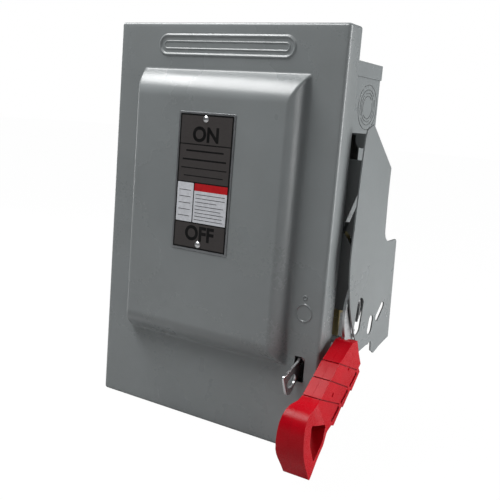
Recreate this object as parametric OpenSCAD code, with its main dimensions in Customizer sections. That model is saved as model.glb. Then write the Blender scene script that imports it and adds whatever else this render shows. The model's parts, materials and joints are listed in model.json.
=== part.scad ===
// Side-operated safety switch in a sheet-metal wall enclosure, millimetres.
// Origin: centre of the back mounting face. +X right, +Y into the wall, +Z up.

/* [Enclosure] */
// Width of the door over its flanges
door_w = 250; // [248:1:252]
// Height of the door over its flanges
door_h = 380; // [376:1:390]
// From the wall to the flat front of the door
depth = 131; // [129:0.5:133]
// Thickness of the enclosure's sheet steel
sheet = 1.5; // [1.2:0.1:1.6]
// How far the box's side walls stand in from the door's edges
side_inset = 26; // [25.5:0.1:26]
// How far the end walls stand in from the door's edges
end_inset = 23; // [22.5:0.5:25]
// Depth of the flange round the door
door_flange = 22; // [21:0.5:22]

/* [Door pan] */
// How far the pressed pan stands proud of the door
pan_rise = 19; // [15:0.5:20]
// Width of the pan where it leaves the door
pan_w = 184; // [176:1:186]
// Height of the pan where it leaves the door
pan_h = 259; // [240:1:262]
// Height of the pan's middle above the door's middle
pan_z = 17; // [15:0.5:18]

/* [Handle] */
// Sideways place of the grip's parting plane
grip_x = 140; // [139.9:0.1:142]
// Half width of the grip along its shank
grip_half = 8.6; // [7:0.1:9]
// Half width of the grip at its loop
grip_end_half = 12.4; // [11:0.1:12.5]
// Height of the drive shaft's axis
shaft_z = -3; // [-4:0.5:-2]
// Distance of the drive shaft's axis from the wall
shaft_y = 46; // [45:0.5:47]
// Radius of the drive shaft
shaft_r = 8; // [7.8:0.1:8]

/* [Switch] */
// Distance between poles
pole_pitch = 36; // [34:0.5:36]
// Reach of a blade from the rotor's axis
blade_reach = 58; // [54:0.5:58]
// Angle of an open blade above the horizontal
blade_open = 18; // [16:1:20]

/* [Mounting] */
// Sideways distance between the wall holes
hole_dx = 150; // [140:1:156]
// Upright distance between the wall holes
hole_dz = 296; // [286:1:298]
// Radius of a wall hole
hole_r = 3.5; // [3:0.1:4]

/* [Hidden] */

$fn = 64;
eps = 0.01;

paint = [0.50, 0.53, 0.54];
zinc = [0.78, 0.79, 0.80];
yellow_zinc = [0.62, 0.52, 0.26];
copper = [0.72, 0.45, 0.28];
red = [0.80, 0.07, 0.12];
moulding = [0.12, 0.12, 0.13];

front_y = -depth;
wall_x = door_w / 2 - side_inset;
end_z = door_h / 2 - end_inset;
rim_y = front_y + door_flange + 0.5;
box_front = rim_y + sheet;
lip_gap = 4;
lip_x = door_w / 2 - sheet - lip_gap;
lip_z = door_h / 2 - sheet - lip_gap;
lip_depth = 17.5;
cap_skirt = 14;
bend_r = 3;

plate_x = 136.5;
web_y = -91;
web_right = 131.4;
web_top = 77;
web_bottom = -61;
roof_z = 99;
lever_x = 132.7;
lever_t = 3;

hinge_x = -door_w / 2 + 3;
hinge_y = rim_y + 3.5;
hinge_zs = [-120, 120];
hinge_len = 60;
knuckle_r = 2.8;
pin_r = 1.25;
pin_clear = 0.06;

poles = [-pole_pitch, 0, pole_pitch];
base_front = -22;
blade_t = 2.5;
jaw_gap = 0.3;
leaf_t = 1.5;

hasp_x = 105;
hasp_t = 2.5;
hasp_pivot = [front_y + 6, -103];
slot_x = 101;
slot_w = 10.5;
slot_bottom = -124.5;
slot_top = -101;

// Points on an arc about c, from angle a0 to a1, in n steps
function arc(c, r, a0, a1, n) = [for (i = [0:n])
    c + r * [cos(a0 + (a1 - a0) * i / n), sin(a0 + (a1 - a0) * i / n)]];

// Lays a profile drawn in (Y, Z) into the model and gives it a thickness along +X
module yz(x0, thick) {
    translate([x0, 0, 0]) rotate([90, 0, 90]) linear_extrude(thick) children();
}

// Rod along X
module rod_x(x0, x1, y, z, r) {
    translate([x0, y, z]) rotate([0, 90, 0]) cylinder(h = x1 - x0, r = r);
}

// Rod along Y
module rod_y(y0, y1, x, z, r) {
    translate([x, y0, z]) rotate([-90, 0, 0]) cylinder(h = y1 - y0, r = r);
}

// Block between two corners
module block(a, b) {
    translate(a) cube(b - a);
}

// Flat slot with round ends, centred, in the drawing plane
module obround(len, wid, tilt) {
    rotate(tilt) union() {
        square([len - wid, wid], center = true);
        translate([(len - wid) / 2, 0]) circle(d = wid);
        translate([-(len - wid) / 2, 0]) circle(d = wid);
    }
}

// Rounded rectangle in the drawing plane, with exact arcs
module round_rect(w, h, r) {
    square([w - 2 * r, h], center = true);
    square([w, h - 2 * r], center = true);
    for (sx = [-1, 1]) {
        for (sy = [-1, 1]) translate([sx * (w / 2 - r), sy * (h / 2 - r)]) circle(r);
    }
}

// Scored knockout: nested rings cut part way in, each broken by two ties, along +Z
knockout_rings = [21.75, 17.25, 14.1, 11.1];
score_w = 0.8;
score_depth = 0.6;
module knockout() {
    for (i = [0:3]) {
        difference() {
            cylinder(h = score_depth + eps, r = knockout_rings[i]);
            translate([0, 0, -1]) cylinder(h = score_depth + 2, r = knockout_rings[i] - score_w);
            rotate(35 + 90 * (i % 2)) translate([-30, -1.5, -1]) cube([60, 3, score_depth + 2]);
        }
    }
}

knockout_y = -24;
knockout_z = 125.5;
window = [[-84, 66], [-34, 99]];

// Back and two side walls bent from one sheet
module wrapper() color(paint) difference() {
    block([-wall_x, box_front, -end_z + sheet], [wall_x, 0, end_z - sheet]);
    block([-wall_x + sheet, box_front - 1, -end_z], [wall_x - sheet, -sheet, end_z]);
    for (sx = [-1, 1]) {
        for (sz = [-1, 1]) rod_y(-sheet - 1, 1, sx * hole_dx / 2, sz * hole_dz / 2, hole_r);
        for (sz = [-1, 1])
            translate([sx * (wall_x - score_depth * (sx + 1) / 2), knockout_y, sz * knockout_z])
                rotate([0, 90, 0]) knockout();
    }
    rod_x(wall_x - sheet - 1, wall_x + 1, -shaft_y, shaft_z, shaft_r + 3);
    block([wall_x - sheet - 1, window[0][0], window[0][1]], [wall_x + 1, window[1][0], window[1][1]]);
}

// End wall with skirts that lap outside the side walls
module endwall(knockout_xs) {
    difference() {
        block([-wall_x - sheet, box_front, end_z - cap_skirt], [wall_x + sheet, 0, end_z]);
        block([-wall_x, box_front - 1, end_z - cap_skirt - 1], [wall_x, 1, end_z - sheet]);
        for (x = knockout_xs) translate([x, -58, end_z - score_depth]) knockout();
    }
}
module top_endwall() color(paint) endwall([0]);
module bottom_endwall() color(paint) mirror([0, 0, 1]) endwall([-48, 48]);

// Flared frame: a flat ring in front of the walls with a lip turned forwards inside the door
bar_slot = [[103.5, 20.5], [110.5, 33.5]];
module front_frame() color(paint) difference() {
    union() {
        block([-lip_x, rim_y, -lip_z], [lip_x, box_front, lip_z]);
        difference() {
            block([-lip_x, rim_y - lip_depth, -lip_z], [lip_x, box_front, lip_z]);
            block([-lip_x + sheet, rim_y - lip_depth - 1, -lip_z + sheet],
                [lip_x - sheet, box_front + 1, lip_z - sheet]);
        }
    }
    block([-wall_x + sheet, rim_y - 1, -end_z + sheet], [wall_x - sheet, box_front + 1, end_z - sheet]);
    block([bar_slot[0][0], rim_y - 1, bar_slot[0][1]], [bar_slot[1][0], box_front + 1, bar_slot[1][1]]);
}

// Hinges: outer knuckles on the frame, the middle one on the door
knuckle_end = 18;
knuckle_gap = 0.4;
module knuckle(z0, z1, bore) {
    translate([hinge_x, hinge_y, z0]) difference() {
        cylinder(h = z1 - z0, r = knuckle_r);
        translate([0, 0, -1]) cylinder(h = z1 - z0 + 2, r = bore);
    }
}
module hinge_leaves_fixed() color(zinc) for (z = hinge_zs) {
    for (s = [-1, 1]) {
        z0 = min(z + s * hinge_len / 2, z + s * (hinge_len / 2 - knuckle_end));
        knuckle(z0, z0 + knuckle_end, pin_r);
        block([hinge_x + pin_r + 0.6, box_front, z0], [-wall_x - 3, box_front + sheet, z0 + knuckle_end]);
    }
}
module hinge_leaves_moving() color(zinc) for (z = hinge_zs) {
    half = hinge_len / 2 - knuckle_end - knuckle_gap;
    knuckle(z - half, z + half, pin_r + pin_clear);
    block([-door_w / 2 + sheet, front_y + sheet + 1, z - half],
        [-door_w / 2 + sheet + 1.3, hinge_y - pin_r - 0.6, z + half]);
}
module hinge_pins() color(zinc) for (z = hinge_zs)
    translate([hinge_x, hinge_y, z - hinge_len / 2 - 1]) cylinder(h = hinge_len + 2, r = pin_r);

// Mechanism housing on the right wall: inner flange, front web, roof with an ear, floor strip
ear_x = 127;
ear_r = 6.5;
notch_tip = [116, 13];
module mechanism_housing() color(paint) {
    difference() {
        union() {
            block([wall_x, web_y, web_bottom], [web_right, web_y + sheet, web_top]);
            block([wall_x, web_y + sheet, web_bottom], [wall_x + sheet, web_y + 20, 62]);
        }
        translate([0, web_y + sheet + 1, 0]) rotate([90, 0, 0]) linear_extrude(sheet + 2)
            polygon([[web_right + 1, 60], notch_tip, [web_right + 1, -7]]);
        block([bar_slot[0][0], web_y - 1, bar_slot[0][1]],
            [bar_slot[1][0], web_y + sheet + 1, bar_slot[1][1]]);
    }
    // Bent tab that fills most of the notch, set one sheet behind the web
    translate([0, web_y + 2 * sheet + 0.2, 0]) rotate([90, 0, 0]) linear_extrude(sheet)
        polygon([[web_right, 47], [web_right - 12, 13], [web_right, 0]]);
    block([web_right - 1.5, web_y + sheet, 4], [web_right, web_y + 2 * sheet + 0.2, 43]);
    block([web_right - 1.5, web_y + 2 * sheet, 4], [web_right, web_y + 14, 43]);
    block([wall_x, web_y + 12.5, 10], [web_right, web_y + 14, 19]);
    // Roof and its hanging ear
    block([wall_x + eps, web_y, roof_z], [plate_x, -80, roof_z + sheet]);
    translate([0, web_y + sheet, 0]) rotate([90, 0, 0]) linear_extrude(sheet) {
        translate([ear_x, roof_z - 5]) circle(ear_r);
        translate([ear_x - ear_r, roof_z - 5]) square([2 * ear_r, 5.5]);
    }
    // Leg that ties the roof to the wall
    block([wall_x, web_y, web_top - eps], [wall_x + 4, web_y + sheet, roof_z + eps]);
    // Floor strip between the wall and the side plate
    block([wall_x, -71, -99.5], [plate_x, -49, -98]);
    block([wall_x, -71, -98 - eps], [wall_x + sheet, -49, -90]);
}

// Side plate: a guard with an arched front edge, a hooked rear edge and padlock holes
arch_c = [25.4, -4.9];
arch_r = 138.1;
module side_plate() color(paint) yz(plate_x, sheet) difference() {
    polygon(concat(
        arc(arch_c, arch_r, 172.5, 224.2, 16),
        [[-47.3, -96.4], [-45.5, -106.3]],
        arc([-37.5, -106.2], 4, 215, 290, 4),
        [[-25.3, -106], [-2.5, -100.5]],
        arc([-12.5, -3.3], 4, 5, 100, 6),
        arc([-28.5, 12.2], 12, 270, 184, 6),
        [[-42.5, 44.6], [-42.5, 70.9], [-92.3, 109.2], [-104.2, 104.1], [-106.9, 97.2], [-108.8, 78.3]]));
    translate([-82.5, -65.5]) obround(34.7, 13.2, 81.7);
    translate([-53.1, -79]) obround(18.9, 9.8, 80.2);
    translate([-32.4, -69]) obround(22, 8, 45);
}

// Rivets that hold the housing to the wall
module housing_rivets() color(zinc) {
    for (z = [-45, 50]) rod_x(wall_x + sheet, wall_x + sheet + 1.4, web_y + 11, z, 3);
    for (y = [-66, -55]) rod_x(wall_x + sheet, wall_x + sheet + 1.2, y, -94, 2.2);
}

// Flanged bearing for the drive shaft in the right wall
module shaft_bushing() color(moulding) difference() {
    union() {
        rod_x(wall_x - 4, wall_x + 2.5, -shaft_y, shaft_z, shaft_r + 3);
        rod_x(wall_x, wall_x + 2.5, -shaft_y, shaft_z, shaft_r + 7);
    }
    rod_x(wall_x - 6, wall_x + 4, -shaft_y, shaft_z, shaft_r + 0.05);
}

// Bracket below the crank that holds the spring's fixed leg
module spring_anchor() color(yellow_zinc) {
    block([wall_x, -84, -88], [wall_x + 2, -66, -62]);
    block([wall_x + 2 - eps, -84, -66], [wall_x + 20, -66, -63.5]);
    block([wall_x + 2 - eps, -84, -88], [wall_x + 20, -82, -66 + eps]);
}

// Torsion spring round the collar, as closed turns, with one leg on the anchor
coil_r = 16.5;
wire_r = 1.2;
coil_pitch = 3.2;
turns = 4;
leg_tilt = 143;
leg_gap = 3;
leg_len = 49.6;
module torsion_spring() color(zinc) {
    for (i = [0:turns - 1]) translate([wall_x + 15 + coil_pitch * i, -shaft_y, shaft_z]) rotate([0, 90, 0])
        rotate_extrude() translate([coil_r, 0]) circle(wire_r);
    translate([wall_x + 15, -shaft_y, shaft_z - coil_r - leg_gap]) rotate([leg_tilt, 0, 0])
        cylinder(h = leg_len, r = wire_r);
}

// Bridge that guides the interlock bar along the wall, with a foot on the housing's flange
module interlock_guide() color(zinc) {
    difference() {
        block([wall_x + sheet, -82, 19.8], [wall_x + 13, -74, 34.5]);
        block([wall_x + 5.3, -83, 21.3], [wall_x + 10.7, -73, 32.7]);
    }
    block([wall_x + sheet, -82, 34.5 - eps], [wall_x + 3.5, -74, 41]);
}

// Striker on the frame, just clear of the latch's nose
module latch_strike() color(zinc) {
    block([hasp_x - 7, rim_y - 9, -142], [hasp_x + 7, rim_y - 7.5, -124.2]);
    block([hasp_x - 7, rim_y - 9, -142], [hasp_x + 7, rim_y, -140.5]);
}

// Moulded base with pole barriers, bearing posts and shield ears
base_x = 64;
base_z0 = -95;
base_z1 = 104;
post_t = 7;
journal_r = 6;
ear_y = -66;
ear_z = 108;
shield_pin_r = 1.5;
base_screw_x = 50;
base_screw_zs = [-88, 97];
module switch_base() color(moulding) difference() {
    union() {
        block([-base_x, base_front, base_z0], [base_x, -sheet, base_z1]);
        for (s = [-1, 1]) {
            block([s * 18 - 1.25, -62, base_z0], [s * 18 + 1.25, base_front + eps, base_z1]);
            x0 = min(s * 55, s * (55 + post_t));
            block([x0, -58, -20], [x0 + post_t, base_front + eps, 14]);
            block([x0, ear_y - 4, 92], [x0 + post_t, base_front + eps, ear_z + 5]);
        }
    }
    rod_x(-base_x - 1, base_x + 1, -shaft_y, shaft_z, journal_r + 0.05);
    rod_x(-54, 54, -shaft_y, shaft_z, 19);
    rod_x(-base_x - 1, base_x + 1, ear_y, ear_z, shield_pin_r + 0.06);
    for (x = [-base_screw_x, base_screw_x]) {
        for (z = base_screw_zs) rod_y(base_front - 1, 0, x, z, 3);
    }
}
module base_screws() color(zinc) for (x = [-base_screw_x, base_screw_x]) {
    for (z = base_screw_zs) {
        rod_y(base_front - 3, base_front, x, z, 4.4);
        rod_y(base_front - eps, -sheet, x, z, 3);
    }
}

// Line side: sprung jaws on a copper strap, wire lugs and their screws
module line_jaws() color(copper) for (x = poles) {
    block([x - 6, base_front - 2, 28], [x + 6, base_front, 88]);
    for (s = [-1, 1]) {
        x0 = s * (blade_t / 2 + jaw_gap);
        x1 = x0 + s * leaf_t;
        block([min(x0, x1) + x, -55, 38], [max(x0, x1) + x, base_front - 2 + eps, 56]);
    }
}
module wire_lug(x, z, out) {
    difference() {
        block([x - 7, base_front - 19, z - 9], [x + 7, base_front - 2, z + 9]);
        translate([x, base_front - 9, z - 10]) cylinder(h = 20, r = 4.5);
        rod_y(base_front - 20, base_front - 9, x, z + out, 3);
    }
}
module lug_screw(x, z, out) {
    difference() {
        rod_y(base_front - 22, base_front - 14, x, z + out, 3);
        rod_y(base_front - 23, base_front - 20, x, z + out, 1.6, $fn = 6);
    }
}
lug_z = 82;
load_lug_z = -80;
module line_lugs() color(zinc) for (x = poles) wire_lug(x, lug_z, 0);
module line_screws() color(zinc) for (x = poles) lug_screw(x, lug_z, 0);
module load_lugs() color(zinc) for (x = poles) wire_lug(x, load_lug_z, 0);
module load_screws() color(zinc) for (x = poles) lug_screw(x, load_lug_z, 0);

// Load side: leaves that wipe the blade's hub, on a strap down to the lug
module load_contacts() color(copper) for (x = poles) {
    block([x - 6, base_front - 2, -88], [x + 6, base_front, -24]);
    for (s = [-1, 1]) {
        x0 = s * (blade_t / 2 + jaw_gap);
        x1 = x0 + s * leaf_t;
        block([min(x0, x1) + x, -52, -36], [max(x0, x1) + x, base_front - 2 + eps, -14]);
    }
}

// Arc chutes: fibre cheeks with radial steel plates slotted for the blade
chute_in = 40;
chute_out = 70;
chute_angles = [34, 45, 56, 67];
module chute_sector(a0, a1) {
    polygon(concat(arc([-shaft_y, shaft_z], chute_out, 180 - a0, 180 - a1, 8),
        arc([-shaft_y, shaft_z], chute_in, 180 - a1, 180 - a0, 6)));
}
module arc_chutes() color(moulding) for (x = poles) {
    for (s = [-1, 1]) yz(x + s * 9.2 - 0.7, 1.4) chute_sector(28, 72);
    yz(x - 8.5 - eps, 17 + 2 * eps) difference() {
        chute_sector(28, 72);
        translate([-shaft_y, shaft_z]) circle(blade_reach + 9.5);
    }
}
module arc_plates() color(zinc) for (x = poles) {
    for (a = chute_angles) translate([x, -shaft_y, shaft_z]) rotate([-a, 0, 0]) difference() {
        block([-8.4, -67, -0.6], [8.4, -42, 0.6]);
        block([-3.5, -61, -1], [3.5, -41, 1]);
    }
}

// Equipment ground: a lug on the back wall
module ground_lug() color(zinc) difference() {
    block([-74, -20, -136], [-58, -sheet, -116]);
    translate([-66, -12, -137]) cylinder(h = 22, r = 3.6);
    rod_y(-21, -12, -66, -126, 2.6);
}
module ground_screws() color(zinc) rod_y(-24, -15.8, -66, -126, 2.6);

// Door: a bent tray with a pressed pan that is rolled over at its edges
module tray2d(w, d, r) {
    translate([-w / 2, 0]) square([w, d - r]);
    translate([-w / 2 + r, 0]) square([w - 2 * r, d]);
    for (s = [-1, 1]) translate([s * (w / 2 - r), d - r]) circle(r);
}
module tray(w, h, d, r) {
    intersection() {
        translate([0, front_y + d, -h / 2]) mirror([0, 1, 0]) linear_extrude(h) tray2d(w, d, r);
        yz(-w / 2, w) translate([front_y + d, 0]) rotate(90) tray2d(h, d, r);
    }
}
pan_side_run = 11;
pan_top_run = 26;
pan_bottom_run = 22;
module pan_level(y, inset, k) {
    w = pan_w / 2 - pan_side_run * k - inset;
    z0 = pan_z - pan_h / 2 + pan_bottom_run * k + inset;
    z1 = pan_z + pan_h / 2 - pan_top_run * k - inset;
    block([-w, front_y - y, z0], [w, front_y - y + eps, z1]);
}
module pan(inset, drop) {
    hull() {
        pan_level(-drop, inset, 0);
        pan_level(pan_rise * 0.55 - drop, inset, 0.3);
        pan_level(pan_rise * 0.87 - drop, inset, 0.66);
        pan_level(pan_rise - drop, inset, 1);
    }
}
module door_panel() color(paint) difference() {
    union() {
        tray(door_w, door_h, door_flange, bend_r);
        pan(0, 0);
    }
    translate([0, sheet, 0]) tray(door_w - 2 * sheet, door_h - 2 * sheet, door_flange + 5, bend_r - sheet);
    pan(sheet, sheet);
    block([slot_x, front_y - 1, slot_bottom], [slot_x + slot_w, front_y + sheet + 1, slot_top]);
}

// Nameplate and its two dome rivets
plate_z = [-20, 108];
plate_half = 31.5;
module nameplate() color(zinc)
    block([-plate_half, front_y - pan_rise - 0.8, plate_z[0]], [plate_half, front_y - pan_rise, plate_z[1]]);
module nameplate_rivets() color(zinc) for (z = [-13.5, 102]) intersection() {
    translate([-1, front_y - pan_rise + 1.6, z]) sphere(4);
    block([-6, front_y - pan_rise - 3, z - 5], [5, front_y - pan_rise - 0.8, z + 5]);
}

// Latch: bracket behind the slot, cross pin, sprung hasp that comes out through the slot
module latch_bracket() color(zinc) for (s = [-1, 1]) {
    x0 = hasp_x + s * 8.5 + 0.25;
    difference() {
        block([x0 - 0.8, front_y + sheet, -118], [x0 + 0.8, front_y + 12, -94]);
        rod_x(x0 - 2, x0 + 2, hasp_pivot[0], hasp_pivot[1], 1.5);
    }
}
module latch_pin() color(zinc) rod_x(hasp_x - 9.5, hasp_x + 10, hasp_pivot[0], hasp_pivot[1], 1.5);
module padlock_hasp() color(zinc) yz(hasp_x - hasp_t / 2, hasp_t) difference() {
    polygon(concat(
        arc(hasp_pivot, 4, 20, 95, 5),
        [[-132, -105]],
        arc([-153.6, -116.3], 3.2, 120, 200, 4),
        arc([-145, -126.5], 7, 200, 300, 6),
        [[-133, -123.9], [-128, -122.4], [-126.5, -123.6], [-120.5, -123.6], [-120.5, -116]]));
    translate(hasp_pivot) circle(1.56);
    translate([-142.5, -121.5]) obround(15, 9.5, 25);
}
module hasp_spring() color(zinc) for (i = [0:3])
    translate([hasp_x + 3 + 1.1 * i, hasp_pivot[0], hasp_pivot[1]]) rotate([0, 90, 0])
        rotate_extrude() translate([2.6, 0]) circle(0.5, $fn = 16);

// Catch on the door that the interlock bar enters when the switch is on
module interlock_catch() color(zinc) difference() {
    block([99.5, front_y + sheet, 16], [114.5, -117, 38]);
    block([99, front_y + sheet - 1, 17.5], [115, -118.5, 36.5]);
    block([bar_slot[0][0], -119, bar_slot[0][1]], [bar_slot[1][0], -116, bar_slot[1][1]]);
}

// Drive shaft from the rotor out to the lever, with a flat dog at its inner end
dog_x = 64.5;
module drive_shaft() color(zinc) {
    rod_x(dog_x + 4, plate_x - 0.4, -shaft_y, shaft_z, shaft_r);
    block([dog_x - 4, -shaft_y - 1.5, shaft_z - 5], [dog_x + 4 + eps, -shaft_y + 1.5, shaft_z + 5]);
}
module drive_crank() color(yellow_zinc) difference() {
    union() {
        rod_x(wall_x + 5, wall_x + 11, -shaft_y, shaft_z, 14);
        yz(wall_x + 5, 4) polygon([[-58, -10], [-46, -16], [-26, -40], [-33, -46], [-44, -42]]);
    }
    rod_x(wall_x, wall_x + 15, -shaft_y, shaft_z, shaft_r);
}
module shaft_collar() color(zinc) difference() {
    rod_x(wall_x + 11, lever_x, -shaft_y, shaft_z, 13);
    rod_x(wall_x + 10, lever_x + 1, -shaft_y, shaft_z, shaft_r);
}

// Lever: a curved arm from the hub, joggled outwards where it enters the grip
module lever_arm() {
    difference() {
        polygon(concat(
            arc([-shaft_y, shaft_z], 17, 60, 150, 6),
            arc([-62, -62], 46, 140, 205, 6),
            [[-109, -104], [-95, -104], [-86, -84], [-62, -44]],
            arc([-shaft_y, shaft_z], 17, 270, 330, 4)));
        translate([-shaft_y, shaft_z]) circle(shaft_r);
        translate([-82.5, -65.5]) obround(26, 9, 81.7);
    }
}
screw_at = [[-118, -104.5], [-146, -121.5]];
module lever_tongue() polygon([[-109, -100], [-97, -100], [-95, -104],
    [-109, -113], [-150, -131], [-156, -119]]);
module handle_lever() color(zinc) {
    yz(lever_x, lever_t) lever_arm();
    yz(lever_x, grip_x + 1.5 - lever_x) polygon([[-109, -104], [-95, -104], [-97, -100], [-109, -100]]);
    yz(grip_x - 1.5, lever_t) difference() {
        lever_tongue();
        for (p = screw_at) translate(p) circle(2.2);
    }
}

// Grip profile: shank, shoulder and convex loop, with three saw-like ribs on its rear edge
rib_roots = [[-99.6, -110.4], [-115.6, -122.7], [-131.1, -134], [-147, -146.2]];
rib_out = [0.61, -0.79];
rib_shift = 4 * [0.79, 0.61];
rib_low = 7.5;
rib_high = 10.5;
rib_teeth = [for (i = [2:-1:0]) each [
    rib_roots[i + 1] + rib_high * rib_out + rib_shift,
    rib_roots[i] + rib_low * rib_out + rib_shift]];
module grip_outline() polygon(concat(
    [[-114, -82], [-138.5, -96.5], [-166, -117.6], [-171, -120.9], [-176, -122.6], [-183, -122.6],
        [-189.5, -122.9], [-195, -125.2], [-199.4, -129.4], [-202, -135], [-203, -142], [-203, -150.5],
        [-201.6, -158.5], [-197.6, -167], [-193, -175], [-190, -181], [-187.8, -182.2], [-185.4, -180.6],
        [-172, -168.4], [-160.5, -158.8], [-142, -150.5]],
    rib_teeth,
    [[-95, -109.6], [-91.5, -106.3], [-98, -95.4], [-104.5, -82]]));
module grip_loop() polygon([[-189.3, -137.4], [-187.5, -135.8], [-155.8, -145.6], [-154.2, -148.2],
    [-180, -168.2], [-182, -168.2], [-190.2, -151.8]]);

// Width of one half along the grip, drawn as (outwards, towards the loop's end), cut across the shoulder
width_origin = [-178, -122];
width_tilt = 216;
inner_width = [[0, -110], [grip_half, -110], [grip_half, 4], [grip_half + 0.4, 12],
    [grip_end_half - 2.5, 22], [grip_end_half - 1.2, 32], [grip_end_half, 44], [grip_end_half, 55],
    [grip_end_half - 0.8, 75], [0, 75]];
outer_width = [[0, -110], [grip_half, -110], [grip_half, -5.5], [grip_half + 0.5, -2.5],
    [(grip_half + grip_end_half) / 2, 2.5], [grip_end_half - 0.4, 7.5], [grip_end_half + 0.1, 11],
    [grip_end_half + 0.8, 25], [grip_end_half + 2.5, 46], [grip_end_half + 1.6, 58],
    [grip_end_half, 75], [0, 75]];
module grip_width(side) translate([grip_x, width_origin[0], width_origin[1]]) rotate([width_tilt, 0, 0])
    linear_extrude(200, center = true) scale([side, 1]) polygon(side < 0 ? inner_width : outer_width);

// Grooves across the front and the flat side
groove_from = [[-137.5, -95.9], [-152.6, -107.4], [-169, -119.5]];
groove_to = [[-99.6, -110.4], [-115.6, -122.7], [-131.1, -134]];
groove_w = 0.9;
groove_depth = 0.8;
module groove(i, share) {
    run = groove_to[i] - groove_from[i];
    translate(groove_from[i]) rotate(atan2(run[1], run[0]))
        translate([-4, -groove_w / 2]) square([4 + groove_depth + share * norm(run), groove_w]);
}
// Bevel at the loop's lower end, on the side towards the door
bevel_top = -162;
bevel_end = -186;
bevel_cut = 4.2;
module loop_bevel() {
    x0 = grip_x - grip_end_half;
    rotate([90, 0, 0]) linear_extrude(230)
        polygon([[x0 - 1, bevel_top + 5.7], [x0 + bevel_cut, bevel_end], [x0 - 1, bevel_end]]);
}
module grip_body(side) difference() {
    intersection() {
        yz(grip_x + min(side, 0) * (grip_end_half + 4), grip_end_half + 4) difference() {
            grip_outline();
            grip_loop();
        }
        grip_width(side);
    }
    if (side < 0) loop_bevel();
    for (i = [0:2]) {
        yz(grip_x - grip_end_half, 2 * grip_end_half) groove(i, 0);
        yz(grip_x + side * (grip_half + 1.5 - groove_depth) - 1.5, 3) groove(i, 0.985);
    }
}
rib_slot = [0.6, 4.4];
module grip_inner() color(red) difference() {
    grip_body(-1);
    // Pocket for the lever and holes for the screws
    yz(lever_x - 0.3, grip_x + 2 - lever_x)
        polygon([[-109.4, -104.4], [-94, -104.4], [-85, -95], [-100, -75], [-109.4, -75]]);
    grip_pocket();
}
module grip_outer() color(red) difference() {
    grip_body(1);
    grip_pocket();
    // Slot that sets each rib off from the flat side
    for (i = [0:2]) {
        a = 0.94 * rib_roots[i] + 0.06 * rib_roots[i + 1];
        b = 0.17 * rib_roots[i] + 0.83 * rib_roots[i + 1];
        yz(grip_x + grip_half - 1.2, 3) polygon([a + rib_slot[0] * rib_out, a + rib_slot[1] * rib_out,
            b + rib_slot[1] * rib_out, b + rib_slot[0] * rib_out]);
    }
}
module grip_pocket() {
    yz(grip_x - 1.6, lever_t + 0.2) polygon([[-110, -99.6], [-96.8, -99.6], [-94, -104], [-108.8, -113.4],
        [-150, -131.5], [-156.6, -119.1]]);
    for (p = screw_at) rod_x(grip_x - 20, grip_x + 20, p[0], p[1], 2.02);
}
module grip_screws() color(red) for (p = screw_at) difference() {
    rod_x(grip_x - grip_half + 1, grip_x + grip_half - 0.6, p[0], p[1], 2);
    rod_x(grip_x - grip_half, grip_x - grip_half + 2, p[0], p[1], 1, $fn = 6);
}

// Rotor that carries the blades, with an end cup for the shaft's dog
module rotor() color(moulding) difference() {
    union() {
        rod_x(-54.5, 54.5, -shaft_y, shaft_z, 9);
        rod_x(-63, 66, -shaft_y, shaft_z, journal_r);
    }
    for (x = poles) rod_x(x - blade_t / 2, x + blade_t / 2, -shaft_y, shaft_z, 9.5);
    yz(60, 7) translate([-shaft_y, shaft_z])
        polygon([[-4.2, -6.5], [4.2, -6.5], [1.8, 0], [4.2, 6.5], [-4.2, 6.5], [-1.8, 0]]);
}
blade_rivet_at = [-26, 0];
module blades() color(copper) for (x = poles) yz(x - blade_t / 2, blade_t) translate([-shaft_y, shaft_z])
    rotate(-blade_open) difference() {
        union() {
            circle(16);
            translate([-blade_reach + 6, -6]) square([blade_reach - 6, 12]);
            translate([-blade_reach + 6, 0]) circle(6);
        }
        translate(blade_rivet_at) circle(2);
    }
module blade_rivets() color(zinc) for (x = poles) yz(x - blade_t / 2 - 1, blade_t + 2)
    translate([-shaft_y, shaft_z]) rotate(-blade_open) translate(blade_rivet_at) circle(2);

// Bar that slides forwards into the door's catch as the handle goes to on
module interlock_bar() color(zinc) difference() {
    block([wall_x + 6, -104, 22], [wall_x + 10, -58, 32]);
    rod_x(wall_x + 5, wall_x + 11, -64, 27, 2.5);
}

// Line shield and its pin
shield_drop = 40;
module line_shield() color([0.75, 0.75, 0.72]) difference() {
    union() {
        rod_x(-54, 54, ear_y, ear_z, 3.4);
        block([-60, ear_y - 3.4, ear_z - shield_drop], [60, ear_y - 1.6, ear_z - 17]);
        block([-54, ear_y - 3.4, ear_z - shield_drop], [54, ear_y - 1.6, ear_z]);
    }
    rod_x(-61, 61, ear_y, ear_z, shield_pin_r);
}
module shield_pin() color(zinc) rod_x(-62, 62, ear_y, ear_z, shield_pin_r);

wrapper();
top_endwall();
bottom_endwall();
front_frame();
hinge_leaves_fixed();
hinge_pins();
mechanism_housing();
side_plate();
housing_rivets();
shaft_bushing();
spring_anchor();
torsion_spring();
interlock_guide();
latch_strike();
switch_base();
base_screws();
line_jaws();
line_lugs();
line_screws();
load_contacts();
load_lugs();
load_screws();
arc_chutes();
arc_plates();
ground_lug();
ground_screws();
door_panel();
hinge_leaves_moving();
nameplate();
nameplate_rivets();
latch_bracket();
latch_pin();
interlock_catch();
padlock_hasp();
hasp_spring();
drive_shaft();
drive_crank();
shaft_collar();
handle_lever();
grip_inner();
grip_outer();
grip_screws();
rotor();
blades();
blade_rivets();
interlock_bar();
line_shield();
shield_pin();
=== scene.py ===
import json
import math

import bmesh
import bpy
import numpy as np
from mathutils import Matrix, Vector


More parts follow.
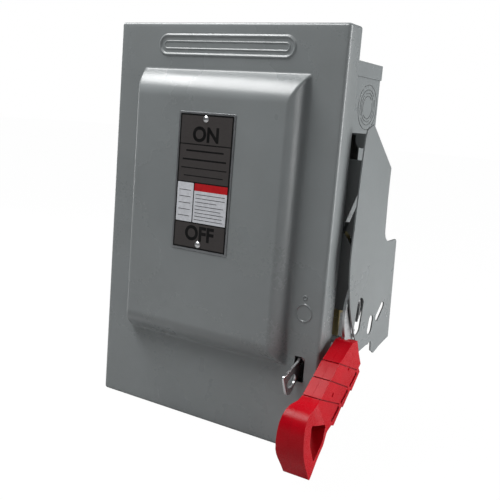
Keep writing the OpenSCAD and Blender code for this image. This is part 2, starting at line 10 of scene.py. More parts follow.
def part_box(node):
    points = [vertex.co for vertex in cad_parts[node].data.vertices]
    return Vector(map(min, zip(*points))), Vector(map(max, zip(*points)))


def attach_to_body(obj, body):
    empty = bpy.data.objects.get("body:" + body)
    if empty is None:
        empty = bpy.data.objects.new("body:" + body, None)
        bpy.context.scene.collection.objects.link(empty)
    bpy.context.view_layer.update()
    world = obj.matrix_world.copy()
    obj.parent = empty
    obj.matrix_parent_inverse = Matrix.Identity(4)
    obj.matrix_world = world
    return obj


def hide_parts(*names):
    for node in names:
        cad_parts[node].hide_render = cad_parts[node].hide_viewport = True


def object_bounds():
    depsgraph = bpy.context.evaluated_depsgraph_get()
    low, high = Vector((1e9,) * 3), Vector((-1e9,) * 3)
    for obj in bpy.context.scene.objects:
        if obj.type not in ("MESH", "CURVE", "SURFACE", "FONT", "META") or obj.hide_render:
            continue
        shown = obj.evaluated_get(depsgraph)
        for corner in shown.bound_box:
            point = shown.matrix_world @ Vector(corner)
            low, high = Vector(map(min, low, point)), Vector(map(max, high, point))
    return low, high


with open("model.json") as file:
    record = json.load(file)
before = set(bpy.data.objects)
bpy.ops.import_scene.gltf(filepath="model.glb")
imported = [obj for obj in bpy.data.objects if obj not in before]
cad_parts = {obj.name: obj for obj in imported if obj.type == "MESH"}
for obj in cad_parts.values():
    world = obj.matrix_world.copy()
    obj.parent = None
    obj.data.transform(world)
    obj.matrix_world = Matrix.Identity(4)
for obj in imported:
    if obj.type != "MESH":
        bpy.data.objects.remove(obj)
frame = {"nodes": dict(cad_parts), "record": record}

cad_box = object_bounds()
MM = 0.001

# The record's material slot and the body of each CAD node
SLOT_OF = {part["node"]: part["material_slot"] for part in frame["record"]["subparts"]}
BODY_OF = {node: body for body, nodes in frame["record"]["behaviour"]["bodies"].items()
           for node in nodes}

# Boxes of the door and the nameplate, and the door sheet's sizes, all in millimetres
DOOR_LOW, DOOR_HIGH = (np.array(c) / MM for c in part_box("door_panel"))
PLATE_LOW, PLATE_HIGH = (np.array(c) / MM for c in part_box("nameplate"))
SHEET = 1.5
PAN_RISE = 19.0
FRONT_Y = DOOR_LOW[1] + PAN_RISE
BEND_R = 3.0


# ---------------------------------------------------------------- shader building

class Wires:
    """Adds nodes to a tree and joins them by socket name."""

    def __init__(self, tree):
        self.tree = tree

    def add(self, kind, settings=None, **inputs):
        node = self.tree.nodes.new(kind)
        for key, value in (settings or {}).items():
            setattr(node, key, value)
        for key, value in inputs.items():
            self.set(node.inputs[key.replace("_", " ")], value)
        return node

    def set(self, socket, value):
        if isinstance(value, bpy.types.NodeSocket):
            self.tree.links.new(value, socket)
        else:
            socket.default_value = value

    def math(self, operation, a, b=0.0, clamp=False):
        node = self.tree.nodes.new("ShaderNodeMath")
        node.operation, node.use_clamp = operation, clamp
        self.set(node.inputs[0], a)
        self.set(node.inputs[1], b)
        return node.outputs[0]

    def mix(self, factor, a, b, blend="MIX"):
        node = self.tree.nodes.new("ShaderNodeMix")
        node.data_type, node.blend_type = "RGBA", blend
        self.set(node.inputs[0], factor)
        self.set(node.inputs[6], a)
        self.set(node.inputs[7], b)
        return node.outputs[2]

    def span(self, value, low, high, out_low=0.0, out_high=1.0):
        node = self.tree.nodes.new("ShaderNodeMapRange")
        self.set(node.inputs[0], value)
        for i, number in enumerate((low, high, out_low, out_high), 1):
            self.set(node.inputs[i], number)
        return node.outputs[0]

    def noise(self, vector, scale, detail=3.0, roughness=0.5):
        node = self.add("ShaderNodeTexNoise", Vector=vector, Scale=scale, Detail=detail, Roughness=roughness)
        return node.outputs["Fac"]


def new_group(name, inputs, outputs):
    """An empty node group with float or vector inputs and float outputs; gives its wires, entry and exit."""
    tree = bpy.data.node_groups.new(name, "ShaderNodeTree")
    for label, value in inputs:
        kind = "NodeSocketVector" if value is None else "NodeSocketFloat"
        socket = tree.interface.new_socket(label, in_out="INPUT", socket_type=kind)
        if value is not None:
            socket.default_value = value
    for label in outputs:
        tree.interface.new_socket(label, in_out="OUTPUT", socket_type="NodeSocketFloat")
    return Wires(tree), tree.nodes.new("NodeGroupInput"), tree.nodes.new("NodeGroupOutput")


def make_orange_peel():
    """Sprayed paint's skin: soft dimples from two noises, and a slow drift in tone across the panel."""
    w, enter, leave = new_group("orange_peel", [("Vector", None), ("Scale", 520.0)], ["Height", "Drift"])
    coarse = w.noise(enter.outputs["Vector"], enter.outputs["Scale"], 2.0, 0.4)
    fine = w.noise(enter.outputs["Vector"], w.math("MULTIPLY", enter.outputs["Scale"], 3.1), 2.0, 0.5)
    height = w.math("ADD", w.math("MULTIPLY", coarse, 0.75), w.math("MULTIPLY", fine, 0.25))
    drift = w.noise(enter.outputs["Vector"], w.math("MULTIPLY", enter.outputs["Scale"], 0.018), 3.0, 0.55)
    w.set(leave.inputs["Height"], height)
    w.set(leave.inputs["Drift"], w.span(drift, 0.3, 0.7))
    return w.tree


def make_edge_wear():
    """Rubbed edges: how far a rounded normal leans from the true one, broken up by noise."""
    w, enter, leave = new_group(
        "edge_wear", [("Vector", None), ("Radius", 0.0006), ("Breakup", 260.0)], ["Mask"])
    rounded = w.add("ShaderNodeBevel", {"samples": 4}, Radius=enter.outputs["Radius"])
    true = w.add("ShaderNodeNewGeometry")
    dot = w.add("ShaderNodeVectorMath", {"operation": "DOT_PRODUCT"})
    w.set(dot.inputs[0], rounded.outputs[0])
    w.set(dot.inputs[1], true.outputs["Normal"])
    lean = w.span(dot.outputs["Value"], 0.995, 0.86)
    patch = w.span(w.noise(enter.outputs["Vector"], enter.outputs["Breakup"], 5.0, 0.65), 0.47, 0.62)
    w.set(leave.inputs["Mask"], w.math("MULTIPLY", lean, patch, clamp=True))
    return w.tree


def make_grime():
    """Handling marks: large soft patches multiplied by a finer speckle."""
    w, enter, leave = new_group("grime", [("Vector", None), ("Scale", 22.0)], ["Mask"])
    patch = w.span(w.noise(enter.outputs["Vector"], enter.outputs["Scale"], 4.0, 0.6), 0.42, 0.75)
    speck = w.noise(enter.outputs["Vector"], w.math("MULTIPLY", enter.outputs["Scale"], 24.0), 2.0, 0.6)
    speckle = w.span(speck, 0.3, 0.8, 0.35, 1.0)
    w.set(leave.inputs["Mask"], w.math("MULTIPLY", patch, speckle, clamp=True))
    return w.tree


def make_painted_crease_shade():
    """Painted shade in scored lines and corners: the colour is darkened from how closed in the surface is,
    broken up by noise.
    """
    w, enter, leave = new_group("painted_crease_shade", [("Vector", None), ("Reach", 0.003)], ["Mask"])
    shade = w.add("ShaderNodeAmbientOcclusion", {"samples": 8, "only_local": True},
                  Distance=enter.outputs["Reach"])
    patch = w.span(w.noise(enter.outputs["Vector"], 180.0, 3.0, 0.6), 0.25, 0.6, 0.6, 1.0)
    closed_in = w.span(shade.outputs["AO"], 0.92, 0.45)
    w.set(leave.inputs["Mask"], w.math("MULTIPLY", closed_in, patch, clamp=True))
    return w.tree


def make_brushed():
    """Rolled or brushed metal: noise drawn out into long streaks by an uneven scale."""
    w, enter, leave = new_group("brushed", [("Vector", None), ("Stretch", None), ("Scale", 90.0)],
                                ["Streak", "Height"])
    drawn = w.add("ShaderNodeVectorMath", {"operation": "MULTIPLY"})
    w.set(drawn.inputs[0], enter.outputs["Vector"])
    w.set(drawn.inputs[1], enter.outputs["Stretch"])
    streak = w.noise(drawn.outputs[0], enter.outputs["Scale"], 6.0, 0.7)
    w.set(leave.inputs["Streak"], w.span(streak, 0.3, 0.7))
    w.set(leave.inputs["Height"], streak)
    return w.tree


def make_spangle():
    """Zinc plating's crystals: random tone in each cell of a Voronoi pattern, with soft edges."""
    w, enter, leave = new_group("spangle", [("Vector", None), ("Scale", 340.0)], ["Tone"])
    cells = w.add("ShaderNodeTexVoronoi", {"feature": "SMOOTH_F1"},
                  Vector=enter.outputs["Vector"], Scale=enter.outputs["Scale"])
    split = w.add("ShaderNodeSeparateColor", Color=cells.outputs["Color"])
    w.set(leave.inputs["Tone"], split.outputs[0])
    return w.tree


GROUPS = {name: make() for name, make in {
    "orange_peel": make_orange_peel, "edge_wear": make_edge_wear, "grime": make_grime,
    "painted_crease_shade": make_painted_crease_shade, "brushed": make_brushed, "spangle": make_spangle}.items()}


def place_group(w, name, **inputs):
    """One placing of a shared group, with its own values."""
    node = w.tree.nodes.new("ShaderNodeGroup")
    node.node_tree = GROUPS[name]
    for key, value in inputs.items():
        w.set(node.inputs[key], value)
    return node


def start_material(name, colour, roughness, metallic=0.0, **sockets):
    """A material, its wires, its Principled shader with even values on its own sockets, and the
    object's own coordinates."""
    material = bpy.data.materials.new(name)
    material.use_nodes = True
    material.diffuse_color = (*colour, 1.0)
    w = Wires(material.node_tree)
    shader = material.node_tree.nodes["Principled BSDF"]
    shader.inputs["Metallic"].default_value = metallic
    shader.inputs["Roughness"].default_value = roughness
    for key, value in sockets.items():
        shader.inputs[key.replace("_", " ")].default_value = value
    where = material.node_tree.nodes.new("ShaderNodeTexCoord").outputs["Object"]
    return material, w, shader, where


def shade_of(colour, share=1.0):
    """A colour with its strength scaled, no channel above 1, and full alpha."""
    return (*(min(c * share, 1.0) for c in colour), 1.0)


def add_bump(w, shader, height, depth):
    bump = w.add("ShaderNodeBump", Height=height, Strength=1.0, Distance=depth)
    w.set(shader.inputs["Normal"], bump.outputs["Normal"])


DUST = (0.11, 0.105, 0.095)
PAINT_WORN = (0.42, 0.43, 0.43)
# Near-black tone painted into creases and corners as shade
PAINTED_CREASE_SHADE = (0.045, 0.047, 0.045)


def painted(name, colour, roughness):
    """Powder-coated sheet steel: orange peel, slow drift, grime, painted shade in creases and corners,
    and edges rubbed to a paler tone."""
    material, w, shader, where = start_material(name, colour, roughness, Specular_IOR_Level=0.45)
    skin = place_group(w, "orange_peel", Vector=where, Scale=520.0)
    dirt = place_group(w, "grime", Vector=where, Scale=14.0)
    wear = place_group(w, "edge_wear", Vector=where, Radius=0.0007)
    crease_shade = place_group(w, "painted_crease_shade", Vector=where, Reach=0.0028)
    tone = w.mix(skin.outputs["Drift"], shade_of(colour, 0.93), shade_of(colour, 1.05))
    tone = w.mix(w.math("MULTIPLY", dirt.outputs["Mask"], 0.16), tone, shade_of(DUST))
    tone = w.mix(w.math("MULTIPLY", wear.outputs["Mask"], 0.5), tone, shade_of(PAINT_WORN))
    # Painted shade: the paint goes near black where the surface is closed in, in creases and corners
    tone = w.mix(w.math("MULTIPLY", crease_shade.outputs["Mask"], 0.75), tone, shade_of(PAINTED_CREASE_SHADE))
    w.set(shader.inputs["Base Color"], tone)
    rough = w.math("ADD", w.span(skin.outputs["Drift"], 0.0, 1.0, roughness - 0.05, roughness + 0.06),
                   w.math("MULTIPLY", dirt.outputs["Mask"], 0.14))
    w.set(shader.inputs["Roughness"], rough)
    add_bump(w, shader, skin.outputs["Height"], 0.00006)
    return material


INK_DUST = (0.10, 0.095, 0.09)


def printed(name, colour, stretch=(1.0, 1.0, 1.0)):
    """Ink on metal: matt, with fine streaks from the brushed sheet below and a little dust."""
    material, w, shader, where = start_material(name, colour, 0.5, Specular_IOR_Level=0.18)
    lines = place_group(w, "brushed", Vector=where, Stretch=stretch, Scale=260.0)
    dirt = place_group(w, "grime", Vector=where, Scale=90.0)
    tone = w.mix(lines.outputs["Streak"], shade_of(colour, 0.86), shade_of(colour, 1.14))
    tone = w.mix(w.math("MULTIPLY", dirt.outputs["Mask"], 0.1), tone, shade_of(INK_DUST))
    w.set(shader.inputs["Base Color"], tone)
    w.set(shader.inputs["Roughness"], w.span(lines.outputs["Streak"], 0.0, 1.0, 0.42, 0.56))
    add_bump(w, shader, lines.outputs["Height"], 0.000012)
    return material


METAL_WORN = (0.85, 0.85, 0.84)


def plated(name, colour, roughness, stretch=(1.0, 1.0, 14.0), scale=110.0,
           tarnish=(0.25, 0.24, 0.22), dull=0.3):
    """Plated or bare metal: drawn streaks, crystals, tarnish in patches and bright rubbed edges."""
    material, w, shader, where = start_material(name, colour, roughness, metallic=1.0)
    lines = place_group(w, "brushed", Vector=where, Stretch=stretch, Scale=scale)
    cells = place_group(w, "spangle", Vector=where, Scale=420.0)
    dirt = place_group(w, "grime", Vector=where, Scale=60.0)
    wear = place_group(w, "edge_wear", Vector=where, Radius=0.0004)
    mottle = w.math("ADD", w.math("MULTIPLY", lines.outputs["Streak"], 0.6),
                    w.math("MULTIPLY", cells.outputs["Tone"], 0.4))
    tone = w.mix(mottle, shade_of(colour, 0.8), shade_of(colour, 1.1))
    tone = w.mix(w.math("MULTIPLY", dirt.outputs["Mask"], dull), tone, shade_of(tarnish))
    tone = w.mix(w.math("MULTIPLY", wear.outputs["Mask"], 0.5), tone, shade_of(METAL_WORN))
    w.set(shader.inputs["Base Color"], tone)
    rough = w.math("ADD", w.span(mottle, 0.0, 1.0, roughness - 0.07, roughness + 0.1),
                   w.math("MULTIPLY", dirt.outputs["Mask"], 0.2))
    w.set(shader.inputs["Roughness"], rough)
    add_bump(w, shader, lines.outputs["Height"], 0.00002)
    return material


def moulded(name, colour, roughness, grain, bloom, depth=0.00004, rub=0.35, shine=0.5):
    """Moulded plastic: a fine spark-eroded grain, slow drift, painted shade in creases, and scuffs and
    rubbed edges in the bloom colour."""
    material, w, shader, where = start_material(name, colour, roughness, Specular_IOR_Level=shine)
    skin = place_group(w, "orange_peel", Vector=where, Scale=grain)
    dirt = place_group(w, "grime", Vector=where, Scale=35.0)
    wear = place_group(w, "edge_wear", Vector=where, Radius=0.0008)
    crease_shade = place_group(w, "painted_crease_shade", Vector=where, Reach=0.0022)
    tone = w.mix(skin.outputs["Drift"], shade_of(colour, 0.9), shade_of(colour, 1.12))
    tone = w.mix(w.math("MULTIPLY", dirt.outputs["Mask"], 0.08), tone, shade_of(bloom))
    tone = w.mix(w.math("MULTIPLY", wear.outputs["Mask"], rub), tone, shade_of(bloom))
    # Painted shade: a darker copy of the colour where the surface is closed in, in creases
    tone = w.mix(w.math("MULTIPLY", crease_shade.outputs["Mask"], 0.8), tone, shade_of(colour, 0.12))
    w.set(shader.inputs["Base Color"], tone)
    w.set(shader.inputs["Roughness"], w.math(
        "ADD", w.span(skin.outputs["Height"], 0.3, 0.7, roughness - 0.06, roughness + 0.08),
        w.math("MULTIPLY", dirt.outputs["Mask"], 0.12)))
    add_bump(w, shader, skin.outputs["Height"], depth)
    return material


MATERIALS = {
    "grey_paint": painted("grey_paint", (0.205, 0.220, 0.223), 0.26),
    "red_plastic": moulded("red_plastic", (0.42, 0.0015, 0.008), 0.24, 1300.0, (0.55, 0.05, 0.07),
                           depth=0.00005, rub=0.2, shine=0.11),
    "black_moulding": moulded("black_moulding", (0.016, 0.016, 0.018), 0.48, 900.0, (0.12, 0.12, 0.12)),
    "copper": plated("copper", (0.80, 0.42, 0.26), 0.32, (14.0, 1.0, 1.0), tarnish=(0.30, 0.14, 0.09)),
    "yellow_zinc": plated("yellow_zinc", (0.72, 0.58, 0.28), 0.30, (1.0, 12.0, 1.0),
                          tarnish=(0.42, 0.30, 0.30)),
    "zinc_steel": plated("zinc_steel", (0.66, 0.67, 0.68), 0.28),
    "lug_aluminium": plated("lug_aluminium", (0.74, 0.75, 0.76), 0.38, (1.0, 1.0, 10.0), 140.0),
    "plate_metal": plated("plate_metal", (0.30, 0.31, 0.32), 0.40, (1.0, 1.0, 60.0), 60.0, dull=0.1),
    "shield_sheet": moulded("shield_sheet", (0.50, 0.49, 0.44), 0.35, 700.0, (0.7, 0.7, 0.66)),
}
PRINT_TAUPE = printed("print_taupe", (0.048, 0.043, 0.042), (1.0, 1.0, 14.0))
PRINT_BLACK = printed("print_black", (0.0012, 0.0012, 0.0014))
PRINT_WHITE = printed("print_white", (0.56, 0.57, 0.60))
PRINT_RED = printed("print_red", (0.45, 0.008, 0.012))


# ---------------------------------------------------------------- mesh building

def to_object(name, mesh, material):
    """Links a mesh to the scene as an object with one material."""
    mesh.materials.clear()
    mesh.materials.append(material)
    piece = bpy.data.objects.new(name, mesh)
    bpy.context.scene.collection.objects.link(piece)
    return piece


def smooth_shaded(mesh, angle):
    mesh.shade_smooth()
    mesh.set_sharp_from_angle(angle=math.radians(angle))


def baked(piece, angle):
    """Gives the piece the mesh that its modifiers make, shaded smooth up to the angle if there is one."""
    graph = bpy.context.evaluated_depsgraph_get()
    mesh = bpy.data.meshes.new_from_object(piece.evaluated_get(graph))
    piece.modifiers.clear()
    piece.data = mesh
    if angle:
        smooth_shaded(mesh, angle)
    return piece


def surface(name, points, faces, material, closed=True, facing=None):
    """A piece from vertices in millimetres and faces; doubles are merged, then faces turned outwards.
    An open surface is flipped if its middle doesn't look along facing."""
    mesh = bpy.data.meshes.new(name)
    mesh.from_pydata((np.asarray(points) * MM).tolist(), [], faces)
    bm = bmesh.new()
    bm.from_mesh(mesh)
    bmesh.ops.remove_doubles(bm, verts=bm.verts, dist=1e-7)
    bmesh.ops.recalc_face_normals(bm, faces=bm.faces)
    if not closed:
        total = sum((f.normal * f.calc_area() for f in bm.faces), Vector())
        if total.dot(Vector(facing)) < 0:
            bmesh.ops.reverse_faces(bm, faces=bm.faces)
    bm.to_mesh(mesh)
    bm.free()
    return to_object(name, mesh, material)


def grid_faces(rows, columns, wrap_rows=False, wrap_columns=False, first=0):
    """Quads between neighbours of a rows by columns grid, numbered along the rows."""
    r = np.arange(rows if wrap_rows else rows - 1)
    c = np.arange(columns if wrap_columns else columns - 1)
    r, c = (a.ravel() for a in np.meshgrid(r, c, indexing="ij"))
    r1, c1 = (r + 1) % rows, (c + 1) % columns
    quads = np.stack([r * columns + c, r * columns + c1, r1 * columns + c1, r1 * columns + c], 1)
    return (quads + first).tolist()


def graded(*spans):
    """Rising positions through (start, end, step) spans, even within each."""
    parts = [np.linspace(a, b, max(2, math.ceil((b - a) / s) + 1)) for a, b, s in spans]
    return np.unique(np.round(np.concatenate(parts), 5))


def attach(piece, body, slot, *nodes):
    """Rides the piece on a body and hides the CAD nodes that it stands in for; the slot argument is not used.
    """
    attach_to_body(piece, body)
    if nodes:
        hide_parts(*nodes)
    return piece


def rounded_outline(x0, x1, z0, z1, r, steps=6):
    """Closed outline of a rectangle whose corners are arcs of radius r, as (x, z) points."""
    turn = np.linspace(0.0, np.pi / 2, steps + 1)
    corners = [(x1 - r, z1 - r, 0.0), (x0 + r, z1 - r, 0.5), (x0 + r, z0 + r, 1.0), (x1 - r, z0 + r, 1.5)]
    return np.concatenate([np.stack([cx + r * np.cos(turn + a * np.pi), cz + r * np.sin(turn + a * np.pi)], 1)
                           for cx, cz, a in corners])


def slab(name, outline, y_back, y_front, edge, material):
    """A flat plate: the outline carried through a profile that runs forwards and turns in over a small
    rounded edge, then closed by a flat face at each end."""
    middle = (outline.min(0) + outline.max(0)) / 2
    size = (outline.max(0) - outline.min(0)) / 2
    turn = np.linspace(0.0, np.pi / 2, 4)
    inset = np.concatenate([[0.0], edge * (1 - np.cos(turn))])
    depth = np.concatenate([[y_back], y_front + edge * (1 - np.sin(turn))])
    shrink = 1 - inset[:, None] / size[None, :]
    flat = middle + (outline - middle)[None, :, :] * shrink[:, None, :]
    rings = np.empty((*flat.shape[:2], 3))
    rings[..., 0], rings[..., 2] = flat[..., 0], flat[..., 1]
    rings[..., 1] = depth[:, None]
    rows, columns = rings.shape[:2]
    faces = grid_faces(rows, columns, wrap_columns=True)
    faces += [list(range(columns)), list(range((rows - 1) * columns, rows * columns))]
    return surface(name, rings.reshape(-1, 3), faces, material)


BEAD_BURY = 0.15


def bead(name, path, half_width, height, y_base, material):
    """A pressed bead: a low cosine arch, half_width to each side, carried along a closed path of (x, z),
    buried a little in the face behind it and closed at its back."""
    ahead = np.roll(path, -1, 0) - np.roll(path, 1, 0)
    ahead /= np.linalg.norm(ahead, axis=1)[:, None]
    side = np.stack([ahead[:, 1], -ahead[:, 0]], 1)
    across = np.linspace(-1.0, 1.0, 13)
    arch = 0.5 * (1 + np.cos(np.pi * across))
    flat = path[:, None, :] + side[:, None, :] * (across * half_width)[None, :, None]
    points = np.empty((len(path), len(across), 3))
    points[..., 0], points[..., 2] = flat[..., 0], flat[..., 1]
    points[..., 1] = y_base + BEAD_BURY - height * arch[None, :]
    faces = grid_faces(len(path), len(across), wrap_rows=True)
    faces += grid_faces(len(path), 2, wrap_rows=True, first=points[..., 0].size)
    under = points[:, [0, -1], :].copy()
    points = np.concatenate([points.reshape(-1, 3), under.reshape(-1, 3)])
    return surface(name, points, faces, material)


# ---------------------------------------------------------------- door

# The pan's outline and the runs of its side, bottom and top slopes, and the latch's slot in (x, z)
PAN_HALF = 92.0
PAN_LOW, PAN_TOP = -112.5, 146.5
SIDE_RUN, BOTTOM_RUN, TOP_RUN = 11.0, 22.0, 26.0
SLOT_X, SLOT_Z = (101.0, 111.5), (-124.5, -101.0)
CREASE_R, CREASE_FADE = 1.7, 1.6


def pan_height(x, z):
    """How far the door's face stands out: 1 - (1 - t)^2, where t is the nearest way in from the pan's
    sides, bottom or top over that slope's run, averaged over a small square with weights that fall off
    from its middle, so that creases are rounded."""
    offsets = np.linspace(-1.0, 1.0, 7)
    total, weight = np.zeros_like(x), 0.0
    for dx in offsets:
        for dz in offsets:
            share = math.exp(-CREASE_FADE * (dx * dx + dz * dz))
            px, pz = x + CREASE_R * dx, z + CREASE_R * dz
            t = np.minimum.reduce([(PAN_HALF - np.abs(px)) / SIDE_RUN, (pz - PAN_LOW) / BOTTOM_RUN,
                                   (PAN_TOP - pz) / TOP_RUN])
            t = np.clip(t, 0.0, 1.0)
            total += share * (1 - (1 - t) ** 2)
            weight += share
    return PAN_RISE * total / weight


def make_door():
    """The door's face as a height field over (x, z), and its flanges as the face's border carried round a
    quarter bend and straight back. The grid is finer across the pan's slopes. The sheet's thickness is
    then added inwards."""
    half_w, half_h = DOOR_HIGH[0] - BEND_R, DOOR_HIGH[2] - BEND_R
    (sx0, sx1), (sz0, sz1) = SLOT_X, SLOT_Z
    xs = graded((-half_w, -95, 4), (-95, -79, 0.55), (-79, 79, 6), (79, 95, 0.55), (95, sx0, 2),
                (sx0, sx1, 3.5), (sx1, half_w, 3.5))
    zs = graded((-half_h, sz0, 4), (sz0, -116, 2), (-116, sz1, 0.75), (sz1, -88, 0.75), (-88, 118, 6),
                (118, 150, 0.75), (150, half_h, 4))
    x, z = np.meshgrid(xs, zs, indexing="ij")
    face = np.stack([x, FRONT_Y - pan_height(x, z), z], -1).reshape(-1, 3)
    nx, nz = len(xs), len(zs)
    middle_x, middle_z = (xs[:-1] + xs[1:]) / 2, (zs[:-1] + zs[1:]) / 2
    cut = ((middle_x > sx0) & (middle_x < sx1))[:, None] & ((middle_z > sz0) & (middle_z < sz1))[None, :]
    faces = [f for f, hole in zip(grid_faces(nx, nz), cut.ravel()) if not hole]
    turn = np.linspace(0.0, np.pi / 2, 7)
    border, out = [], []
    for points, angle in ((np.stack([np.full(nz, half_w), zs], 1), 0.0),
                          (np.stack([xs[::-1], np.full(nx, half_h)], 1), 0.5),
                          (np.stack([np.full(nz, -half_w), zs[::-1]], 1), 1.0),
                          (np.stack([xs, np.full(nx, -half_h)], 1), 1.5)):
        border += [points, np.repeat(points[-1:], len(turn), 0)]
        a = angle * np.pi
        out += [np.tile([math.cos(a), math.sin(a)], (len(points), 1)),
                np.stack([np.cos(a + turn), np.sin(a + turn)], 1)]
    border, out = np.concatenate(border), np.concatenate(out)
    bend = np.linspace(0.0, np.pi / 2, 7)
    reach = np.concatenate([BEND_R * np.sin(bend), [BEND_R, BEND_R]])
    rear = DOOR_HIGH[1]
    depth = np.concatenate([FRONT_Y + BEND_R * (1 - np.cos(bend)), [(FRONT_Y + BEND_R + rear) / 2, rear]])
    flat = border[None, :, :] + out[None, :, :] * reach[:, None, None]
    skirt = np.empty((len(reach), len(border), 3))
    skirt[..., 0], skirt[..., 2] = flat[..., 0], flat[..., 1]
    skirt[..., 1] = depth[:, None]
    faces += grid_faces(len(reach), len(border), wrap_columns=True, first=len(face))
    shell = surface("door_shell", np.concatenate([face, skirt.reshape(-1, 3)]), faces,
                    MATERIALS["grey_paint"], closed=False, facing=(0, -1, 0))
    wall = shell.modifiers.new("sheet", "SOLIDIFY")
    wall.thickness, wall.offset, wall.use_even_offset = SHEET * MM, -1.0, True
    return attach(baked(shell, 32), "door", "grey_paint", "door_panel")


make_door()


def door_bead(name, path, half_width, height):
    """A bead pressed into the door's flat margin."""
    piece = bead(name, path, half_width, height, FRONT_Y, MATERIALS["grey_paint"])
    attach(baked(piece, 60), "door", "grey_paint")


# Pressed band above the pan: a long bead round a plain field, with a second line inside it
BAND = (-77.0, 76.0, 158.0, 180.0)
for name, inset, half_width, height in (("band_bead", 2.2, 2.4, 1.3), ("band_line", 7.6, 1.5, 0.8)):
    x0, x1, z0, z1 = BAND[0] + inset, BAND[1] - inset, BAND[2] + inset, BAND[3] - inset
    door_bead(name, rounded_outline(x0, x1, z0, z1, (z1 - z0) / 2 - 0.01, 20), half_width, height)

# Pressed ring, and a small dot above it, in the margin near the latch
door_bead("latch_ring_bead", rounded_outline(98.4, 113.8, -68.5, -53.1, 7.69, 16), 1.5, 0.9)
door_bead("latch_dot_bead", rounded_outline(104.3, 107.9, -48.5, -45.2, 1.6, 8), 1.4, 0.8)


# ---------------------------------------------------------------- nameplate

# The plate's sheet stops short of the CAD node's front, and printed layers are stacked on its face;
# the letters stand on the fields' layer
LAYER = 0.05
WORD_LEVEL = 2.6
PLATE_FACE_Y = PLATE_LOW[1] + 0.16
PLATE_MARGIN, BORDER_WIDTH, HALF_LINE = 1.9, 1.5, 0.55


def plate_slab(name, x0, x1, z0, z1, level, material, r=0.4, edge=0.02):
    """One printed layer, level layers above the plate's face."""
    y = PLATE_FACE_Y - LAYER * level
    return attach(slab(name, rounded_outline(x0, x1, z0, z1, r), y + LAYER, y, edge, material),
                  "door", "plate_metal")


plate = slab("nameplate_sheet",
             rounded_outline(PLATE_LOW[0], PLATE_HIGH[0], PLATE_LOW[2], PLATE_HIGH[2], 1.6),
             PLATE_HIGH[1], PLATE_FACE_Y, 0.25, MATERIALS["plate_metal"])
attach(plate, "door", "plate_metal", "nameplate")
LEFT, RIGHT = PLATE_LOW[0] + PLATE_MARGIN, PLATE_HIGH[0] - PLATE_MARGIN
LOW, HIGH = PLATE_LOW[2] + PLATE_MARGIN, PLATE_HIGH[2] - PLATE_MARGIN
plate_slab("plate_border", LEFT, RIGHT, LOW, HIGH, 1, PRINT_BLACK, 0.8)
LEFT, RIGHT, LOW, HIGH = LEFT + BORDER_WIDTH, RIGHT - BORDER_WIDTH, LOW + BORDER_WIDTH, HIGH - BORDER_WIDTH

# Fields between the border's cross lines: on, middle, a pale panel in two parts with a band, off
ON_Z, PANEL_TOP, PANEL_LOW, BAND_LOW, SPLIT_X = 78.5, 43.6, 6.2, 36.2, -9.2
for name, x0, x1, z0, z1, ink in (
        ("plate_field_on", LEFT, RIGHT, ON_Z + HALF_LINE, HIGH, PRINT_TAUPE),
        ("plate_field_middle", LEFT, RIGHT, PANEL_TOP + HALF_LINE, ON_Z - HALF_LINE, PRINT_TAUPE),
        ("plate_field_off", LEFT, RIGHT, LOW, PANEL_LOW - HALF_LINE, PRINT_TAUPE),
        ("plate_panel_left", LEFT, SPLIT_X - HALF_LINE, PANEL_LOW + HALF_LINE, PANEL_TOP - HALF_LINE,
         PRINT_WHITE),
        ("plate_panel_right", SPLIT_X + HALF_LINE, RIGHT, PANEL_LOW + HALF_LINE, BAND_LOW, PRINT_WHITE),
        ("plate_panel_band", SPLIT_X + HALF_LINE, RIGHT, BAND_LOW, PANEL_TOP - HALF_LINE, PRINT_RED)):
    plate_slab(name, x0, x1, z0, z1, 2, ink)

# Plain rules where a plate carries its small print, as (left end, right end, z, thickness)
RULES = [(-21.0, 21.0, 72.6, 1.5), (-24.5, 24.5, 64.6, 1.5), (-25.5, 25.5, 56.8, 0.9),
         (-22.0, 22.0, 49.6, 0.9)]
PANEL_RULES = ((26.0, 33.0), (26.0, 29.4), (17.0, 26.0), (25.0, 22.4), (22.0, 19.2), (25.5, 16.0),
               (24.0, 12.8), (25.0, 9.6))
RULES += [(-7.0, right_end, z, 0.5) for right_end, z in PANEL_RULES]
RULES += [(-26.0, -12.5, z, 0.5) for z in (36.0, 30.0, 24.0, 18.0, 12.0)]
for number, (x0, x1, z, h) in enumerate(RULES, 1):
    plate_slab(f"plate_rule_{number:02d}", x0, x1, z - h / 2, z + h / 2, 3, PRINT_BLACK, 0.2, 0.01)


# Height of the letters, the share of the font's size that a capital takes, and how much strokes are fattened
LETTER_HEIGHT = 13.4
CAPITAL_SHARE = 0.72
STROKE_GROWTH = 0.62


def letters(name, text, middle_x, base_z):
    """Plain letters as a thin mesh: the outline font filled and thickened, then placed in the mesh itself."""
    curve = bpy.data.curves.new(name, "FONT")
    curve.body, curve.size, curve.align_x = text, LETTER_HEIGHT / CAPITAL_SHARE, "CENTER"
    curve.offset, curve.extrude, curve.resolution_u = STROKE_GROWTH, LAYER, 8
    holder = bpy.data.objects.new(name + "_outline", curve)
    bpy.context.scene.collection.objects.link(holder)
    graph = bpy.context.evaluated_depsgraph_get()
    mesh = bpy.data.meshes.new_from_object(holder.evaluated_get(graph))
    bpy.data.objects.remove(holder)
    bpy.data.curves.remove(curve)
    stand = Matrix.Rotation(math.pi / 2, 4, "X")
    y = PLATE_FACE_Y - LAYER * WORD_LEVEL
    mesh.transform(Matrix.Diagonal((MM, MM, MM, 1)) @ Matrix.Translation((middle_x, y, base_z)) @ stand)
    return attach(to_object(name, mesh, PRINT_BLACK), "door", "plate_metal")


letters("plate_word_on", "ON", 0.2, 81.6)
letters("plate_word_off", "OFF", 0.0, -9.6)


# ---------------------------------------------------------------- finished CAD pieces

# Faces within FLAT_DEG of each other are made one, and edges sharper than EDGE_DEG are rounded
FLAT_DEG, EDGE_DEG = 0.4, 28

